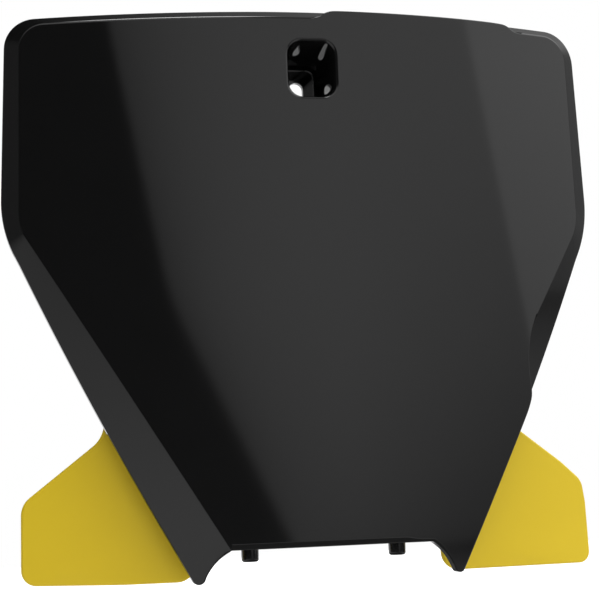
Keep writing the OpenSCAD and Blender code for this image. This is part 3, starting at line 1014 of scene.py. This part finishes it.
def shaded(tone, red, green, blue):
    """A colour with each channel times its own factor."""
    return (tone[0] * red, tone[1] * green, tone[2] * blue, 1)


def plate_plastic(finish):
    """Smooth black moulded plastic, semi-gloss, with a faint flow in its sheen."""
    material, s = new_material("black_moulded_plastic")
    coords = s.node("ShaderNodeTexCoord").out("Object")
    flow = s.noise(coords, 9.0, 2.0)
    fine = s.noise(coords, 900.0, 2.0)
    dark = tuple(finish.plate_colour)
    s.surface({
        "Base Color": s.mix(s.noise(coords, 40.0), dark, shaded(dark, 1.18, 1.18, 1.18)),
        "Roughness": finish.plate_roughness + (flow - 0.5) * 0.02 + (fine - 0.5) * 0.01,
        "Normal": s.bump(fine, 0.02, 0.00002),
        "IOR": 1.5,
    })
    return material


def wing_plastic(finish):
    """Satin yellow plastic with a very fine grain."""
    material, s = new_material("yellow_moulded_plastic")
    coords = s.node("ShaderNodeTexCoord").out("Object")
    cloud = s.noise(coords, 30.0)
    grain = s.noise(coords, 1800.0, 2.0)
    base = tuple(finish.wing_colour)
    s.surface({
        "Base Color": s.mix(cloud, shaded(base, 0.955, 0.94, 0.9), base),
        "Roughness": finish.wing_roughness + (grain - 0.5) * 0.12 + (cloud - 0.5) * 0.05,
        "Normal": s.bump(grain, 0.12, 0.00005),
        "IOR": 1.46,
    })
    return material


def screw_metal(finish):
    """Bright zinc plating with turning marks and small stains."""
    material, s = new_material("zinc_plated_screw")
    coords = s.node("ShaderNodeTexCoord").out("Object")
    stain = s.noise(coords, 260.0, 4.0, 0.6)
    marks = s.noise(coords, 2400.0, 2.0)
    base = tuple(finish.screw_colour)
    s.surface({
        "Base Color": s.mix(s.smooth(stain, 0.35, 0.7), shaded(base, 0.72, 0.72, 0.72), base),
        "Metallic": 1.0,
        "Roughness": 0.26 + stain * 0.18 + (marks - 0.5) * 0.1,
        "Normal": s.bump(marks, 0.1, 0.00004),
    })
    return material


# The screws


SCREW = {
    "Shank radius": 0.0019, "Shank length": 0.012, "Head radius": 0.0038,
    "Head height": 0.0024, "Recess radius": 0.00125, "Recess depth": 0.0012,
}


def screw_tree():
    """Node tree that sets a pan-head screw on each point of its input."""
    t = Tree("Pan-head screws", SCREW)

    def times(value, factor):
        return t.calc("MULTIPLY", value, factor)

    def cone(top, bottom, depth, shift, sides=40):
        """A turned slice along Y, whose front end lies at shift."""
        values = {"Vertices": sides, "Radius Top": top, "Radius Bottom": bottom, "Depth": depth}
        slice_ = t.node("GeometryNodeMeshCone", values).outputs["Mesh"]
        move = t.node("ShaderNodeCombineXYZ", {"Y": shift}).outputs[0]
        values = {"Geometry": slice_, "Rotation": (-math.pi / 2, 0, 0), "Translation": move}
        return t.node("GeometryNodeTransform", values).outputs[0]

    shank_r, shank_l, head_r, head_h, recess_r, recess_d = (t.inputs[name] for name in SCREW)
    tip_l = times(shank_r, 0.5)
    body_l = t.calc("SUBTRACT", shank_l, tip_l)
    shank = cone(shank_r, shank_r, body_l, times(body_l, -1.0))
    tip = cone(shank_r, times(shank_r, 0.7), tip_l, times(shank_l, -1.0))
    skirt_h, dome_h, crown_h = times(head_h, 0.6), times(head_h, 0.25), times(head_h, 0.15)
    dome_r = times(head_r, 0.93)
    skirt = cone(head_r, head_r, skirt_h, 0.0)
    dome = cone(dome_r, head_r, dome_h, skirt_h)
    crown = cone(times(head_r, 0.74), dome_r, crown_h, t.calc("ADD", skirt_h, dome_h))
    recess = cone(recess_r, recess_r, times(recess_d, 2.0), t.calc("SUBTRACT", head_h, recess_d), 6)
    head = t.node("GeometryNodeMergeByDistance", {"Geometry": t.join((skirt, dome, crown)), "Distance": 1e-6})
    cut = t.node("GeometryNodeMeshBoolean", {"Mesh 1": head.outputs[0], "Mesh 2": recess}, "DIFFERENCE")
    whole = t.join((cut.outputs[0], shank, tip))
    spread = t.node("GeometryNodeInstanceOnPoints", {"Points": t.inputs["Geometry"], "Instance": whole})
    return t.finish(spread.outputs[0])


# The studio


def studio_light(studio):
    """World with a wide front light, a right light, soft lights overhead and a white backdrop.

    Angles are in degrees. Side runs from straight ahead of the face to the right, rise upwards.
    The front light's edges follow their mirror image in the photographed face."""
    world = bpy.data.worlds.new("studio")
    bpy.context.scene.world = world
    world.use_nodes = True
    s = Shader(world.node_tree)
    towards = s.node("ShaderNodeTexCoord").out("Generated")
    split = s.node("ShaderNodeSeparateXYZ", {}, {0: towards})
    across = split.out("X")
    degree = 180 / math.pi
    side = s.fn("ARCTAN2", across, -split.out("Y")) * degree
    rise = s.fn("ARCSINE", split.out("Z")) * degree
    turned = side + s.fn("LESS_THAN", side, -110.0) * 360.0

    # The front light's left edge leans, and leans more below 7 degrees
    bend = s.fn("SMOOTH_MAX", 7.3 - rise, 0.0, 1.5)
    past = side - (-9.3 - (rise - 7.3) * 0.83 + bend * 1.1)
    left_edge = s.smooth(past, -0.8, 0.8)
    right_edge = s.smooth(side - (43.6 - (rise - 10.3) * 0.74), -0.6, 0.6)
    # It grows brighter from that edge to a plateau, and thins out low on the right
    height = s.fn("MAXIMUM", s.fn("MINIMUM", rise, 40.0), -3.0)
    plateau = 0.92 - s.fn("EXPONENT", height / -6.5) * 0.3
    depth = 0.62 - s.fn("EXPONENT", height / -3.0) * 0.3
    ramp = 1.0 - depth * s.fn("EXPONENT", s.fn("MAXIMUM", past, 0.0) / -(4.5 + height * 0.4))
    thin = s.fn("SMOOTH_MAX", side - 17.0, 0.0, 4.0) * s.fn("MAXIMUM", 0.0125 - height * 0.0007, 0.0)
    front = left_edge * (1.0 - right_edge) * (plateau * ramp - thin) * studio.front_light

    right_end = 1.0 - s.smooth(side, 74.0, 84.0)
    right = right_edge * right_end * s.fn("MINIMUM", 0.58 + rise * 0.0276, 1.0) * studio.right_light
    back_right = s.smooth(side, 76.0, 84.0) * (1.0 - s.smooth(side, 120.0, 140.0))
    left = s.smooth(-side, 62.0, 76.0) * (1.0 - s.smooth(-side, 92.0, 105.0))
    walls = front + right + (back_right + left * 0.42) * studio.side_fill

    # Overhead: wide in front with a gap near the middle, stronger on the right, faint behind
    over = s.smooth(turned, -90.0, -30.0) * (1.0 - s.smooth(turned, 95.0, 125.0))
    gap = s.smooth(across, 0.02, 0.12) * (1.0 - s.smooth(across, 0.32, 0.42))
    over = over * (s.smooth(side, 20.0, 60.0) * studio.key_light + studio.top_light) * (1.0 - gap * 0.65)
    rear = s.smooth(turned, 95.0, 125.0) * (1.0 - s.smooth(turned, 135.0, 200.0)) * studio.rear_light
    lamp = s.smooth(rise, 79.0, 83.0) * studio.lamp_light
    ceiling = s.smooth(rise, 20.0, 34.0)
    lit = walls * (1.0 - ceiling) + ceiling * (over + rear) + lamp

    # The white backdrop: all round for the camera, and behind the part for what mirrors it
    path = s.node("ShaderNodeLightPath")
    backdrop = s.smooth(s.fn("ABSOLUTE", side), 145.0, 155.0) * (1.0 - s.smooth(rise, 20.0, 30.0))
    mirrored = (path.out("Is Glossy Ray") + path.out("Is Transmission Ray")) * backdrop
    seen = s.fn("MINIMUM", path.out("Is Camera Ray") + mirrored, 1.0)
    light = s.node("ShaderNodeBackground", {}, {"Color": (1, 1, 1, 1), "Strength": lit * (1.0 - seen) + seen})
    s.node("ShaderNodeOutputWorld", {}, {"Surface": light.out()})


def studio_floor(studio, floor_z):
    """Wide pale floor with a soft pool of light painted round the part, that keeps its shadow."""
    half = studio.floor_size / 2
    mesh = bpy.data.meshes.new("studio_floor")
    corners = [(-half, -half, floor_z), (half, -half, floor_z), (half, half, floor_z), (-half, half, floor_z)]
    mesh.from_pydata(corners, [], [(0, 1, 2, 3)])
    material, s = new_material("pale_floor")
    coords = s.node("ShaderNodeTexCoord").out("Object")
    path = s.node("ShaderNodeLightPath")
    away = s.vector("LENGTH", s.vector("MULTIPLY", coords, (1, 1, 0)).out()).out("Value")
    # Painted light: the floor's colour is palest near the part and fades out by the pool radius, a pool of
    # light painted on it
    reach = {"Value": away, "From Min": 0.36, "From Max": studio.painted_pool_radius}
    fade = s.node("ShaderNodeMapRange", {}, reach).out()
    # Painted shade: what mirrors the floor right under the foot sees it dim, a shadow painted there for
    # glossy rays only
    oval = s.vector("MULTIPLY_ADD", coords, (9, 2.8, 0), (-0.27, 0.28, 0)).out()
    painted_under_shade = 1.0 - s.smooth(s.vector("LENGTH", oval).out("Value"), 0.8, 1.3)
    painted_pool = (1.0 - fade) * (1.0 - painted_under_shade * path.out("Is Glossy Ray") * 0.85)
    # The camera sees it white, and so does what mirrors the part of it behind the board
    behind = s.smooth(s.node("ShaderNodeSeparateXYZ", {}, {0: coords}).out("Y"), 0.5, 1.0)
    mirrored = (path.out("Is Glossy Ray") + path.out("Is Transmission Ray")) * behind
    seen = s.fn("MINIMUM", path.out("Is Camera Ray") + mirrored, 1.0)
    mottle = s.noise(coords, 3.0, 2.0) * 0.03 - 0.015
    bright = s.fn("MAXIMUM", painted_pool * studio.floor_shade, seen * 0.8) + mottle
    shade = s.node("ShaderNodeCombineColor", {}, {0: bright, 1: bright, 2: bright}).out()
    matte = s.node("ShaderNodeBsdfDiffuse", {}, {"Color": shade})
    lift = s.node("ShaderNodeEmission", {}, {"Color": (1, 1, 1, 1), "Strength": seen * 0.6})
    both = s.node("ShaderNodeAddShader", {}, {0: matte.out(), 1: lift.out()})
    s.node("ShaderNodeOutputMaterial", {}, {"Surface": both.out()})
    mesh.materials.append(material)
    floor = bpy.data.objects.new("studio_floor", mesh)
    bpy.context.scene.collection.objects.link(floor)


def photo_camera(studio):
    """Camera at the photograph's place."""
    camera = bpy.data.cameras.new("board_camera")
    camera.lens = studio.lens
    camera.sensor_width = 36
    camera.clip_start, camera.clip_end = 0.01, 50
    right, up, back = (0.9756, -0.2160, -0.0400), (0.0121, -0.1293, 0.9915), (-0.2193, -0.9678, -0.1235)
    turned = Matrix((right, up, back)).transposed().to_4x4()
    holder = bpy.data.objects.new("board_camera", camera)
    holder.matrix_world = Matrix.Translation((-0.1490, -0.65208, -0.17025)) @ turned
    bpy.context.scene.collection.objects.link(holder)
    bpy.context.scene.camera = holder


# Operators, panel and registration


class BOARD_OT_plate(bpy.types.Operator):
    """Build the black plate with its rim, pocket, horns and pegs"""

    bl_idname = "board.plate"
    bl_label = "Build plate"

    def execute(self, context):
        scene = context.scene
        plate = build_plate(scene.board_sizes, plate_plastic(scene.board_finish))
        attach(plate, "root")
        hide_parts("number_plate")
        return {"FINISHED"}


class BOARD_OT_wings(bpy.types.Operator):
    """Build the two yellow wings behind the plate"""

    bl_idname = "board.wings"
    bl_label = "Build wings"

    def execute(self, context):
        scene = context.scene
        material = wing_plastic(scene.board_finish)
        tree = bend_tree()
        for node, side in (("left_wing", -1), ("right_wing", 1)):
            wing = build_wing(node + "_blade", side, scene.board_sizes, tree, material)
            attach(wing, "root")
            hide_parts(node)
        return {"FINISHED"}


class BOARD_OT_screws(bpy.types.Operator):
    """Set the four screws that hold the wings"""

    bl_idname = "board.screws"
    bl_label = "Set screws"

    def execute(self, context):
        scene = context.scene
        sizes = scene.board_sizes
        places = []
        for side in (-1, 1):
            for x, z in (LOW_SCREW, HIGH_SCREW):
                depth = wing_depth(sizes, x) + sizes.wing_wall / MM + PAD_RISE
                places.append((side * x * MM, (depth - SEAT_Y) * MM, (z - SLOT_Z) * MM))
        mesh = bpy.data.meshes.new("wing_screws")
        mesh.from_pydata(places, [], [])
        screws = bpy.data.objects.new("wing_screws", mesh)
        scene.collection.objects.link(screws)
        spread = screws.modifiers.new("spread", "NODES")
        spread.node_group = screw_tree()
        set_inputs(spread, SCREW | {"Material": screw_metal(scene.board_finish)})
        settled(screws)
        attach(screws, "root")
        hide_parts("left_low_screw", "left_high_screw", "right_low_screw", "right_high_screw")
        return {"FINISHED"}


class BOARD_OT_stage(bpy.types.Operator):
    """Set the floor, the soft lights and the camera"""

    bl_idname = "board.stage"
    bl_label = "Set stage"

    def execute(self, context):
        scene = context.scene
        studio = scene.board_studio
        studio_light(studio)
        studio_floor(studio, cad_low[2] - studio.floor_drop)
        photo_camera(studio)
        scene.view_settings.view_transform = "Standard"
        return {"FINISHED"}


class BOARD_PT_panel(bpy.types.Panel):
    bl_idname = "BOARD_PT_panel"
    bl_label = "Number board"
    bl_space_type = "VIEW_3D"
    bl_region_type = "UI"
    bl_category = "Number board"

    def draw(self, context):
        for group in (context.scene.board_sizes, context.scene.board_finish, context.scene.board_studio):
            for key in group.__annotations__:
                self.layout.prop(group, key)
        for operator in (BOARD_OT_plate, BOARD_OT_wings, BOARD_OT_screws, BOARD_OT_stage):
            self.layout.operator(operator.bl_idname)


CLASSES = (
    BoardSizes, BoardFinish, BoardStudio,
    BOARD_OT_plate, BOARD_OT_wings, BOARD_OT_screws, BOARD_OT_stage, BOARD_PT_panel,
)


def register():
    for cls in CLASSES:
        bpy.utils.register_class(cls)
    bpy.types.Scene.board_sizes = PointerProperty(type=BoardSizes)
    bpy.types.Scene.board_finish = PointerProperty(type=BoardFinish)
    bpy.types.Scene.board_studio = PointerProperty(type=BoardStudio)


def unregister():
    del bpy.types.Scene.board_sizes
    del bpy.types.Scene.board_finish
    del bpy.types.Scene.board_studio
    for cls in reversed(CLASSES):
        bpy.utils.unregister_class(cls)


def main():
    register()
    bpy.ops.board.plate()
    bpy.ops.board.wings()
    bpy.ops.board.screws()
    bpy.ops.board.stage()


if __name__ == "__main__":
    main()
